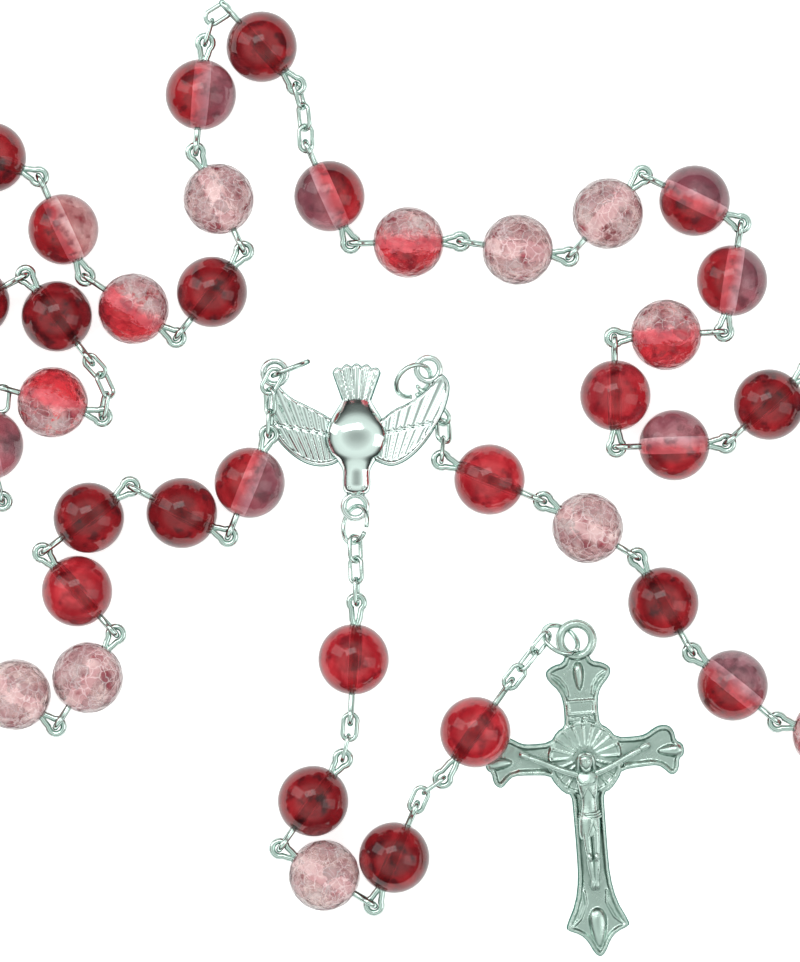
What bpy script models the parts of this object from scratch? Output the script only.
"""A five-decade rosary laid out in loose curves on a table: glass beads on wire pins whose
eyes hook into each other, a dove centrepiece, short oval-link chains and a crucifix.

Z is up and the table is Z = 0. Lengths in the tables are millimetres, angles are degrees, and
a heading is measured anticlockwise from +X in the plane of the table."""

import math

import bmesh
import bpy
from mathutils import Matrix, Vector

MM = 0.001

# Driving dimensions, mm
BEAD_RADIUS = 4.0
BORE_RADIUS = 0.62
WIRE_RADIUS = 0.3
EYE_RADIUS = 0.85  # to the middle of the wire
EYE_CENTRE = 5.75  # from the bead's centre to the middle of its eye
EYE_GAP = 0.70  # from the middle of one eye to the middle of the next eye
KNOT_RADIUS = 0.9  # stands for two hooked eyes inside a stiff run
LINK_WIRE = 0.24
LINK_RADIUS = 0.75
LINK_STRAIGHT = 1.15  # between the two round ends of a link
LINK_PITCH = 2.4
LINK_GAP = 0.65  # from the middle of an eye to the middle of a link's round end
RING_RADIUS = 2.1
RING_WIRE = 0.25
LUG_RADIUS = 1.3
LUG_WIRE = 0.35
LONG_EYE_CENTRE = 6.3  # the first and last pendant beads have longer eyes
HOOK_DEPTH = 0.65  # from a ring's wire to the end wire of a link hooked on it
BEAD_HEIGHT = BEAD_RADIUS

# The dove lies face up with its head towards -Y
DOVE_BODY = (-4.95, 5.45)
RIGHT_WING_BOTTOM = 2.5  # its chain passes below
LEFT_WING_BOTTOM = 1.9  # its chain passes above
WING_THICKNESS = 0.9
RIGHT_LUG = (3.15, 12.45, 2.55)
LEFT_LUG = (-13.95, 12.05, 2.55)
LOWER_LUG = (-5.0, -2.85, 2.0)

# The crucifix lies face up; its foot points towards -Y and a little towards +X
CROSS_CENTRE = (20.65, -30.9)
CROSS_TURN = 4.5
CROSS_THICKNESS = 1.9
CROSS_LOOP = (19.75, -17.8, 1.25)

# Headings along the two sides of the loop, from the dove outwards
FIRST_DECADE = (-22, -31, -60, -39)
SECOND_DECADE = (-138, -178, 91, 3, 81, 154, -132, 172, -179, 114)
THIRD_DECADE = (-95, -64, -128, 146, 115)
FIFTH_DECADE = (-112, 153, -143, -48, -123, 142)

ROOT_NODE = "dove_centrepiece"
SHARP_ANGLE = 50

# A small roll that keeps edges of joined pieces from lying in one plane
OFF_ROLL = 11

# Rolls of the links about their own line, from flat, for each number of links
LINK_ROLLS = {2: (0, 90), 3: (22.5, -45, 67.5)}

COLOURS = {
    "cherry_glass": ((0.35, 0.01, 0.03, 1), 0.05, 0.0),
    "polished_silver": ((0.86, 0.88, 0.87, 1), 0.12, 1.0),
    "antique_silver": ((0.62, 0.63, 0.62, 1), 0.3, 1.0),
}


# Plain geometry


def unit(heading, pitch=0.0):
    """The direction with this heading and upward pitch, in degrees."""
    turn, rise = math.radians(heading), math.radians(pitch)
    return Vector(
        (math.cos(turn) * math.cos(rise), math.sin(turn) * math.cos(rise), math.sin(rise))
    )


def frame_along(direction, roll=0.0):
    """A rotation whose X runs along direction and whose Z is up, then rolled about X."""
    x = direction.normalized()
    y = Vector((0, 0, 1)).cross(x).normalized()
    turned = Matrix((x, y, x.cross(y))).transposed()
    return turned.to_4x4() @ Matrix.Rotation(math.radians(roll), 4, "X")


def place(mesh, position, direction, roll=0.0):
    """Moves a mesh made along X at the origin to a place given in mm."""
    mesh.transform(Matrix.Translation(position * MM) @ frame_along(direction, roll))
    return mesh


# Meshes of the repeated shapes, made at the origin along X


def mesh_from(bm, name):
    bmesh.ops.triangulate(bm, faces=bm.faces)
    mesh = bpy.data.meshes.new(name)
    bm.to_mesh(mesh)
    bm.free()
    return mesh


def wire_mesh(points, radius, closed=False, sides=0):
    """A wire through points in mm, with filled caps when it is open."""
    curve = bpy.data.curves.new("wire", "CURVE")
    curve.dimensions = "3D"
    curve.bevel_depth = radius * MM
    curve.bevel_resolution = sides
    curve.use_fill_caps = True
    spline = curve.splines.new("POLY")
    spline.points.add(len(points) - 1)
    for point, place_mm in zip(spline.points, points):
        point.co = (*(Vector(place_mm) * MM), 1)
    spline.use_cyclic_u = closed
    holder = bpy.data.objects.new("wire", curve)
    bpy.context.scene.collection.objects.link(holder)
    graph = bpy.context.evaluated_depsgraph_get()
    mesh = bpy.data.meshes.new_from_object(holder.evaluated_get(graph))
    bpy.data.objects.remove(holder)
    bm = bmesh.new()
    bm.from_mesh(mesh)
    bmesh.ops.remove_doubles(bm, verts=bm.verts, dist=1e-6)
    bmesh.ops.recalc_face_normals(bm, faces=bm.faces)
    return mesh_from(bm, "wire")


def bar_mesh(start, end, radius):
    """A straight five-sided bar between two points in mm."""
    start, end = Vector(start), Vector(end)
    bm = bmesh.new()
    bmesh.ops.create_cone(
        bm,
        cap_ends=True,
        segments=5,
        radius1=radius * MM,
        radius2=radius * MM,
        depth=(end - start).length * MM,
    )
    bmesh.ops.rotate(bm, matrix=Matrix.Rotation(math.pi / 2, 3, "Y"), verts=bm.verts)
    return place(mesh_from(bm, "bar"), (start + end) / 2, end - start, OFF_ROLL)


def ring_mesh(radius, wire, steps=8, straight=0.0):
    """A flat ring, or an oval link when straight isn't 0, round the origin."""
    points = []
    for i in range(steps):
        angle = 2 * math.pi * (i + 0.5) / steps
        shift = math.copysign(straight / 2, math.cos(angle))
        points.append((radius * math.cos(angle) + shift, radius * math.sin(angle), 0))
    return wire_mesh(points, wire, closed=True)


def ball_mesh(radius, around=8, along=6, stretch=(1, 1, 1)):
    bm = bmesh.new()
    bmesh.ops.create_uvsphere(bm, u_segments=around, v_segments=along, radius=radius * MM)
    bmesh.ops.scale(bm, vec=stretch, verts=bm.verts)
    bmesh.ops.rotate(bm, matrix=Matrix.Rotation(math.pi / around, 3, "Z"), verts=bm.verts)
    bmesh.ops.rotate(bm, matrix=Matrix.Rotation(math.pi / 2, 3, "Y"), verts=bm.verts)
    return mesh_from(bm, "ball")


def bored_bead_mesh(steps=8, rows=6):
    """A round bead with its bore along X, turned from its profile."""
    lip = math.asin(BORE_RADIUS / BEAD_RADIUS)
    angles = [lip + (math.pi - 2 * lip) * i / rows for i in range(rows + 1)]
    profile = [(BEAD_RADIUS * math.sin(a), BEAD_RADIUS * math.cos(a)) for a in angles]
    mesh = bpy.data.meshes.new("bored_bead")
    count = len(profile)
    edges = [(i, (i + 1) % count) for i in range(count)]
    mesh.from_pydata([(r * MM, 0, z * MM) for r, z in profile], edges, [])
    holder = bpy.data.objects.new("bored_bead", mesh)
    bpy.context.scene.collection.objects.link(holder)
    screw = holder.modifiers.new("turned", "SCREW")
    screw.steps = steps
    screw.render_steps = steps
    screw.use_merge_vertices = True
    screw.merge_threshold = 1e-6
    graph = bpy.context.evaluated_depsgraph_get()
    turned = bpy.data.meshes.new_from_object(holder.evaluated_get(graph))
    bpy.data.objects.remove(holder)
    bm = bmesh.new()
    bm.from_mesh(turned)
    bmesh.ops.remove_doubles(bm, verts=bm.verts, dist=1e-7)
    bmesh.ops.recalc_face_normals(bm, faces=bm.faces)
    bmesh.ops.rotate(bm, matrix=Matrix.Rotation(math.pi / steps, 3, "Z"), verts=bm.verts)
    bmesh.ops.rotate(bm, matrix=Matrix.Rotation(math.pi / 2, 3, "Y"), verts=bm.verts)
    return mesh_from(bm, "bored_bead")


def plate_mesh(outline, bottom, thickness):
    """A flat outline in mm, raised to a plate."""
    curve = bpy.data.curves.new("plate", "CURVE")
    curve.dimensions = "2D"
    curve.fill_mode = "BOTH"
    curve.extrude = thickness / 2 * MM
    spline = curve.splines.new("POLY")
    spline.points.add(len(outline) - 1)
    for point, (x, y) in zip(spline.points, outline):
        point.co = (x * MM, y * MM, 0, 1)
    spline.use_cyclic_u = True
    holder = bpy.data.objects.new("plate", curve)
    bpy.context.scene.collection.objects.link(holder)
    graph = bpy.context.evaluated_depsgraph_get()
    mesh = bpy.data.meshes.new_from_object(holder.evaluated_get(graph))
    bpy.data.objects.remove(holder)
    bm = bmesh.new()
    bm.from_mesh(mesh)
    bmesh.ops.remove_doubles(bm, verts=bm.verts, dist=1e-6)
    bmesh.ops.recalc_face_normals(bm, faces=bm.faces)
    bmesh.ops.translate(bm, vec=(0, 0, (bottom + thickness / 2) * MM), verts=bm.verts)
    return mesh_from(bm, "plate")


def fused(meshes):
    """The Boolean union of closed meshes, as one mesh."""
    scene = bpy.context.scene.collection
    holders = []
    for mesh in meshes:
        holder = bpy.data.objects.new("piece", mesh)
        scene.objects.link(holder)
        holders.append(holder)
    base = holders[0]
    for other in holders[1:]:
        join = base.modifiers.new("join", "BOOLEAN")
        join.operation = "UNION"
        join.solver = "EXACT"
        join.object = other
    graph = bpy.context.evaluated_depsgraph_get()
    joined = bpy.data.meshes.new_from_object(base.evaluated_get(graph))
    for holder in holders:
        bpy.data.objects.remove(holder)
    return largest_shell(joined)


def largest_shell(mesh):
    """Drops the sealed slivers that can be left where two wires of a union cross."""
    bm = bmesh.new()
    bm.from_mesh(mesh)
    shells = []
    waiting = set(bm.faces)
    while waiting:
        shell = {waiting.pop()}
        edge_of_shell = set(shell)
        while edge_of_shell:
            near = {f for face in edge_of_shell for e in face.edges for f in e.link_faces}
            edge_of_shell = near - shell
            shell |= near
        waiting -= shell
        shells.append(shell)
    shells.sort(key=len)
    for shell in shells[:-1]:
        bmesh.ops.delete(bm, geom=list(shell), context="FACES")
    bm.to_mesh(mesh)
    bm.free()
    return mesh


def eyed_wire(reach, inner):
    """The pieces of a pin's two ends: a flat eye at -X and an upright eye at +X."""
    pieces = []
    for side, roll in ((-1, 0), (1, 90)):
        eye = ring_mesh(EYE_RADIUS, WIRE_RADIUS)
        eye.transform(
            Matrix.Translation(Vector((side * reach * MM, 0, 0)))
            @ Matrix.Rotation(math.radians(roll), 4, "X")
        )
        pieces.append(eye)
        end = side * (reach - EYE_RADIUS)
        pieces.append(bar_mesh((side * inner, 0, 0), (end, 0, 0), WIRE_RADIUS))
    return pieces


# The nodes


class Rosary:
    """Makes the named nodes, each hung from an empty that stands on its joint's axis."""

    def __init__(self):
        self.collection = bpy.data.collections.new("rosary")
        bpy.context.scene.collection.children.link(self.collection)
        self.root = bpy.data.objects.new("table_centre", None)
        self.collection.objects.link(self.root)
        self.hinges = {ROOT_NODE: self.root}
        self.places = {ROOT_NODE: Vector((0, 0, 0))}
        self.materials = {slot: material(slot) for slot in COLOURS}
        self.bead_mesh = fused([ball_mesh(BEAD_RADIUS), *eyed_wire(EYE_CENTRE, 3.2)])

    def add(self, name, mesh, slot, position=None, direction=None):
        """A node; its mesh is in place already unless a position in mm is given."""
        for polygon in mesh.polygons:
            polygon.use_smooth = True
        mesh.set_sharp_from_angle(angle=math.radians(SHARP_ANGLE))
        if not mesh.materials:
            mesh.materials.append(self.materials[slot])
        node = bpy.data.objects.new(name, mesh)
        node.parent = self.hinges[name]
        placed = Matrix.Translation(-self.places[name] * MM)
        if position is not None:
            placed = placed @ Matrix.Translation(position * MM) @ frame_along(direction)
        node.matrix_local = placed
        self.collection.objects.link(node)

    def hinge(self, parent, child, position, axis):
        """Puts the child's joint at a place in mm, under its parent's joint."""
        hinge = bpy.data.objects.new(f"{child}_hinge", None)
        hinge.empty_display_size = BEAD_RADIUS * MM
        hinge["axis"] = tuple(axis)
        hinge.parent = self.hinges[parent]
        hinge.location = (Vector(position) - self.places[parent]) * MM
        self.collection.objects.link(hinge)
        self.hinges[child] = hinge
        self.places[child] = Vector(position)


def material(slot):
    colour, roughness, metallic = COLOURS[slot]
    made = bpy.data.materials.new(slot)
    made.use_nodes = True
    shader = made.node_tree.nodes["Principled BSDF"]
    shader.inputs["Base Color"].default_value = colour
    shader.inputs["Roughness"].default_value = roughness
    shader.inputs["Metallic"].default_value = metallic
    return made


def sideways(heading):
    """The horizontal axis across a heading, about which a piece lifts."""
    return unit(heading + 90)


def links_along(start, entering, turns, rolls):
    """Meshes of fused links from the middle of an eye, and the middle of the next eye."""
    here = start
    meshes = []
    for i, ((heading, pitch), roll) in enumerate(zip(turns, rolls)):
        along = unit(heading, pitch)
        step = along * (LINK_PITCH - LINK_STRAIGHT) if i else entering * LINK_GAP
        first = here + step
        link = ring_mesh(LINK_RADIUS, LINK_WIRE, straight=LINK_STRAIGHT)
        meshes.append(place(link, first + along * LINK_STRAIGHT / 2, along, roll))
        here = first + along * LINK_STRAIGHT
    end = here
    return meshes, end, end + along * LINK_GAP


class Strand:
    """Walks along a row of beads and chains. It stands at the middle of the last end ring."""

    def __init__(self, rosary, parent, at, heading, gap=EYE_GAP):
        self.rosary, self.parent = rosary, parent
        self.at, self.heading, self.gap = Vector(at), heading, gap

    def join(self, child, heading):
        """Puts the pivot at the last ring, which the child's first ring hangs in."""
        self.rosary.hinge(self.parent, child, self.at, sideways(self.heading))
        self.parent, self.heading = child, heading

    def bead(self, name, heading, bored=False, reach=EYE_CENTRE):
        """One bead on its own pin; bored makes the bead and the pin separate nodes."""
        start = self.at + unit(self.heading) * self.gap
        start.z = BEAD_HEIGHT
        centre = start + unit(heading) * reach
        if bored:
            self.join(f"{name}_pin", heading)
            pin = fused([*eyed_wire(reach, -1.0), ball_mesh(WIRE_RADIUS, 6, 4)])
            self.rosary.add(f"{name}_pin", pin, "polished_silver", centre, unit(heading))
            bead = bored_bead_mesh()
            self.rosary.hinge(f"{name}_pin", f"{name}_bead", centre, unit(heading))
            self.rosary.add(f"{name}_bead", bead, "cherry_glass", centre, unit(heading))
        else:
            self.join(name, heading)
            self.rosary.add(
                name, self.rosary.bead_mesh, "cherry_glass", centre, unit(heading)
            )
        self.at = start + unit(heading) * 2 * reach
        self.gap = EYE_GAP

    def chain(self, name, turns, rolls=None):
        """A short chain of links."""
        entering = unit(self.heading)
        self.join(name, turns[-1][0])
        rolls = rolls or LINK_ROLLS[len(turns)]
        meshes, end, _ = links_along(self.at, entering, turns, rolls)
        self.rosary.add(name, fused(meshes), "polished_silver")
        self.at, self.gap = end, LINK_GAP

    def chained_bead(self, name, before, heading, after):
        """A bead between two chains, all in one node."""
        entering = unit(self.heading)
        self.join(name, after[-1])
        flat = [(turn, 0) for turn in before]
        meshes, _, start = links_along(self.at, entering, flat, LINK_ROLLS[len(flat)])
        centre = start + unit(heading) * EYE_CENTRE
        pieces = [ball_mesh(BEAD_RADIUS), *eyed_wire(EYE_CENTRE, 3.2)]
        pieces = [place(piece, centre, unit(heading)) for piece in pieces]
        leaving = centre + unit(heading) * EYE_CENTRE
        flat = [(turn, 0) for turn in after]
        more, end, _ = links_along(leaving, unit(after[0]), flat, LINK_ROLLS[len(flat)])
        stubs = []
        for ring, towards in ((start, unit(before[-1])), (leaving, -unit(after[0]))):
            stubs.append(bar_mesh(ring - towards * 0.9, ring + towards * 0.2, 0.16))
        self.rosary.add(name, fused([*pieces, *meshes, *more, *stubs]), "cherry_glass")
        self.at, self.gap = end, LINK_GAP

    def run(self, name, headings):
        """Beads on one stiff wire with an eye at each end: a stretch out of the way."""
        here = self.at + unit(self.heading) * self.gap
        self.join(name, headings[-1])
        here.z = BEAD_HEIGHT
        last = len(headings) - 1
        pieces = [place(ring_mesh(EYE_RADIUS, WIRE_RADIUS), here, unit(headings[0]))]
        for i, heading in enumerate(headings):
            along = unit(heading)
            if i:
                knot = here + unit(headings[i - 1]) * EYE_GAP / 2
                pieces.append(place(ball_mesh(KNOT_RADIUS, 6, 4), knot, along, OFF_ROLL))
                here = here + unit(headings[i - 1]) * EYE_GAP
            centre = here + along * EYE_CENTRE
            pieces.append(place(ball_mesh(BEAD_RADIUS, 6, 4), centre, along, -OFF_ROLL))
            ends = [here, centre + along * EYE_CENTRE]
            if i == 0:
                ends[0] = here + along * EYE_RADIUS
            if i == last:
                ends[1] = ends[1] - along * EYE_RADIUS
            pieces.append(bar_mesh(*ends, WIRE_RADIUS))
            here = centre + along * EYE_CENTRE
        pieces.append(place(ring_mesh(EYE_RADIUS, WIRE_RADIUS), here, along, 90))
        self.rosary.add(name, fused(pieces), "cherry_glass")
        self.at, self.gap = here, EYE_GAP


def ring_frame(lug, heading, pitch, tilt):
    """The centre, the line from the lug and the side of a round ring through a lug."""
    line = unit(heading, pitch)
    across = sideways(heading)
    side = across * math.cos(math.radians(tilt)) + line.cross(across) * math.sin(
        math.radians(tilt)
    )
    return Vector(lug) + line * RING_RADIUS, line, side


def jump_ring(rosary, name, centre, line, side):
    mesh = ring_mesh(RING_RADIUS, RING_WIRE, steps=14)
    turned = Matrix((line, side, line.cross(side))).transposed().to_4x4()
    mesh.transform(Matrix.Translation(centre * MM) @ turned)
    rosary.add(name, mesh, "polished_silver")


def dove_ring(rosary, name, lug, heading, pitch, tilt):
    """A jump ring that swings about the wire of one of the dove's lugs."""
    hinge_at = Vector(lug) + unit(heading) * LUG_RADIUS
    rosary.hinge(ROOT_NODE, name, hinge_at, sideways(heading))
    centre, line, side = ring_frame(lug, heading, pitch, tilt)
    jump_ring(rosary, name, centre, line, side)
    return centre, line, side


def lug_mesh(at, radius=LUG_RADIUS):
    mesh = ring_mesh(radius, LUG_WIRE, steps=10)
    return place(mesh, Vector(at), Vector((1, 0, 0)))


def dove(rosary):
    """The centrepiece: body, head and tail on a flat back, and two raised wings."""
    cx, cy = DOVE_BODY
    tail = [(-7.4, 13.2), (-4.9, 13.4), (-2.3, 13.2), (-3.2, 9.0), (-6.1, 9.0)]
    base = []
    for i in range(12):
        angle = 2 * math.pi * i / 12
        base.append((cx + 2.2 * math.cos(angle), cy + 4.6 * math.sin(angle)))
    left_wing = [(-14.6, 10.9), (-14.9, 6.8), (-13.1, 3.8), (-10.4, 1.9), (-6.2, 2.0)]
    left_wing += [(-6.2, 7.2), (-9.9, 8.5), (-13.1, 10.3), (-13.3, 11.0)]
    right_wing = [(4.6, 11.2), (5.4, 10.2), (4.8, 8.0), (2.1, 4.0), (-0.6, 1.7)]
    right_wing += [(-3.7, 2.0), (-3.7, 7.2), (-0.6, 8.3), (1.3, 9.4), (3.4, 11.1)]
    trunk = ball_mesh(4.4, 8, 6, (0.42, 0.5, 1))
    trunk.transform(Matrix.Translation(Vector((cx, cy, 1.9)) * MM) @ frame_along(unit(90)))
    head = ball_mesh(1.8, 8, 6, (0.85, 0.8, 1))
    head.transform(Matrix.Translation(Vector((cx, 0.1, 1.9)) * MM) @ frame_along(unit(90)))
    stalk = wire_mesh([(cx, -1.0, 1.9), (cx, LOWER_LUG[1] + LUG_RADIUS, 2.0)], 0.4)
    pieces = [
        plate_mesh(base, 0.0, 2.0),
        plate_mesh(tail, 0.8, 1.3),
        trunk,
        head,
        stalk,
        plate_mesh(left_wing, LEFT_WING_BOTTOM, WING_THICKNESS),
        plate_mesh(right_wing, RIGHT_WING_BOTTOM, WING_THICKNESS),
        lug_mesh(RIGHT_LUG),
        lug_mesh(LEFT_LUG),
        lug_mesh(LOWER_LUG),
    ]
    rosary.add(ROOT_NODE, fused(pieces), "polished_silver")


def crucifix(rosary):
    """A budded cross with its loop, a rayed disc behind the head and a plain figure."""
    arm = [(1.75, 1.6), (7.2, 1.5), (8.6, 2.6), (10.0, 1.6), (11.2, 0.0)]
    half = [(0.0, 12.0), (2.0, 11.3), (3.7, 9.9), (1.7, 7.6), (1.75, 1.6)]
    half += arm[1:] + [(x, -y) for x, y in reversed(arm)]
    half += [(1.7, -15.0), (3.6, -18.9), (2.0, -20.6), (0.0, -22.3)]
    outline = half + [(-x, y) for x, y in reversed(half[1:-1])]
    disc = [(4.1 * math.cos(a * math.pi / 8), 4.1 * math.sin(a * math.pi / 8)) for a in range(16)]
    loop = lug_mesh((0, 13.2, CROSS_LOOP[2]), 1.75)
    trunk = ball_mesh(3.6, 6, 4, (0.3, 0.36, 1))
    trunk.transform(Matrix.Translation(Vector((0, -3.4, 2.3)) * MM) @ frame_along(unit(90)))
    skull = ball_mesh(1.25, 6, 4, (0.85, 0.9, 1))
    skull.transform(Matrix.Translation(Vector((0, 0.6, 2.7)) * MM) @ frame_along(unit(90)))
    arms = wire_mesh([(-6.9, 0.4, 2.1), (0, -1.0, 2.1), (6.9, 0.4, 2.1)], 0.5)
    legs = wire_mesh([(0, -5.5, 2.1), (0.3, -9.0, 2.4), (0, -13.2, 1.9)], 0.85)
    pieces = [plate_mesh(outline, 0.0, CROSS_THICKNESS), plate_mesh(disc, 0.15, 1.95)]
    pieces += [loop, trunk, skull, arms, legs]
    mesh = fused(pieces)
    turned = Matrix.Rotation(math.radians(CROSS_TURN), 4, "Z")
    centre = Vector((*CROSS_CENTRE, 0)) * MM
    mesh.transform(Matrix.Translation(centre) @ turned)
    rosary.add("crucifix", mesh, "antique_silver")


def right_side(rosary):
    """The loop from the dove's right wing round to the middle of the fourth decade."""
    centre, _, side = dove_ring(rosary, "right_jump_ring", RIGHT_LUG, -142, 0, -42)
    low = centre + side * RING_RADIUS
    inner = Vector((centre.x - low.x, centre.y - low.y, 0)).normalized()
    start = low + inner * HOOK_DEPTH + unit(-48) * (LINK_RADIUS - LINK_GAP)
    start.z = low.z + 0.15
    strand = Strand(rosary, "right_jump_ring", start, -48)
    strand.chain("right_chain", ((-48, 0), (-53, 10), (-87, 31), (-95, 28)), (90, 30, -30, -90))
    for i, heading in enumerate(FIRST_DECADE, 1):
        strand.bead(f"decade_1_bead_{i}", heading)
    strand.run("decade_1_beads_5_to_7", (-14, -26, 24))
    strand.run("decade_1_beads_8_to_10", (110, 142, 133))
    strand.chained_bead("our_father_1_with_chains", (101, 90, 84), 107, (155, 207, 240))
    for i, heading in enumerate(SECOND_DECADE, 1):
        strand.bead(f"decade_2_bead_{i}", heading)
    strand.chained_bead("our_father_2_with_chains", (92, 96, 105), 132, (-148, -107))
    for i, heading in enumerate(THIRD_DECADE, 1):
        strand.bead(f"decade_3_bead_{i}", heading)
    strand.run("decade_3_beads_6_and_7", (158, -122))
    strand.run("decade_3_beads_8_and_9", (-63, 28))
    strand.bead("decade_3_bead_10", -53)
    strand.chained_bead("our_father_3_with_chains", (-48, -65, -101), 164, (-95, 160))
    strand.run("decade_4_beads_1_to_3", (-76, 193, 178))
    strand.run("decade_4_beads_4_to_6", (172, 205, 250))


def left_side(rosary):
    """The loop from the dove's left wing round to the middle of the fourth decade."""
    crossing = Vector(LEFT_LUG) + Vector((-0.1, -0.3, 0))
    centre, line, side = dove_ring(rosary, "left_jump_ring", crossing, 22, 18, 90)
    hook = math.radians(38)
    wire = centre + (side * math.sin(hook) - line * math.cos(hook)) * RING_RADIUS
    start = wire - unit(-128) * HOOK_DEPTH + unit(-118) * (LINK_RADIUS - LINK_GAP)
    strand = Strand(rosary, "left_jump_ring", start, -118)
    strand.chain("left_chain", ((-118, 1), (-87, 1), (-93, 1)), (0, 50, 100))
    for i, heading in zip(range(10, 4, -1), FIFTH_DECADE):
        strand.bead(f"decade_5_bead_{i}", heading)
    strand.run("decade_5_beads_4_to_1", (-124, -84, -93, -134))
    strand.chained_bead("our_father_4_with_chains", (181, 181, 182), 188, (181, 176, 171))
    strand.run("decade_4_beads_10_to_7", (146, 106, 83, 79))


def pendant(rosary):
    """The five pendant beads, their chains and the crucifix."""
    centre, line, _ = dove_ring(rosary, "lower_jump_ring", LOWER_LUG, -90, 18, 50)
    far = centre + line * RING_RADIUS
    start = far - line * HOOK_DEPTH + line * (LINK_RADIUS - LINK_GAP)
    strand = Strand(rosary, "lower_jump_ring", start, -90)
    strand.chain("pendant_chain_1", ((-88, 8), (-88, 8), (-89, 6)), (-40, 35, -80))
    strand.bead("pendant_1", -93, bored=True, reach=LONG_EYE_CENTRE)
    strand.chain("pendant_chain_2", ((-95, 0), (-104, 0)))
    strand.bead("pendant_2", -125, bored=True)
    strand.bead("pendant_3", -31, bored=True)
    strand.bead("pendant_4", 67, bored=True)
    strand.chain("pendant_chain_3", ((66, 0), (37, 0)))
    strand.bead("pendant_5", 55, bored=True, reach=LONG_EYE_CENTRE)
    strand.chain("pendant_chain_4", ((52, 0), (52, -8), (51, -10)), (5, -60, 48))
    strand.join("crucifix_jump_ring", 0)
    jump_ring(rosary, "crucifix_jump_ring", *ring_frame(CROSS_LOOP, 175, 28, 45))
    rosary.hinge("crucifix_jump_ring", "crucifix", CROSS_LOOP, (0, 0, 1))
    crucifix(rosary)


def centre_on_origin(rosary):
    """Moves the whole layout so that its box stands on the origin."""
    bpy.context.view_layer.update()
    corners = []
    for node in rosary.collection.objects:
        if node.type == "MESH":
            corners += [node.matrix_world @ vertex.co for vertex in node.data.vertices]
    low = Vector([min(c[i] for c in corners) for i in range(3)])
    high = Vector([max(c[i] for c in corners) for i in range(3)])
    rosary.root.location = (-(low.x + high.x) / 2, -(low.y + high.y) / 2, -low.z)
    bpy.context.view_layer.update()


def main():
    for old in list(bpy.data.objects):
        bpy.data.objects.remove(old)
    rosary = Rosary()
    dove(rosary)
    right_side(rosary)
    left_side(rosary)
    pendant(rosary)
    centre_on_origin(rosary)
    return rosary.collection


if __name__ == "__main__":
    main()
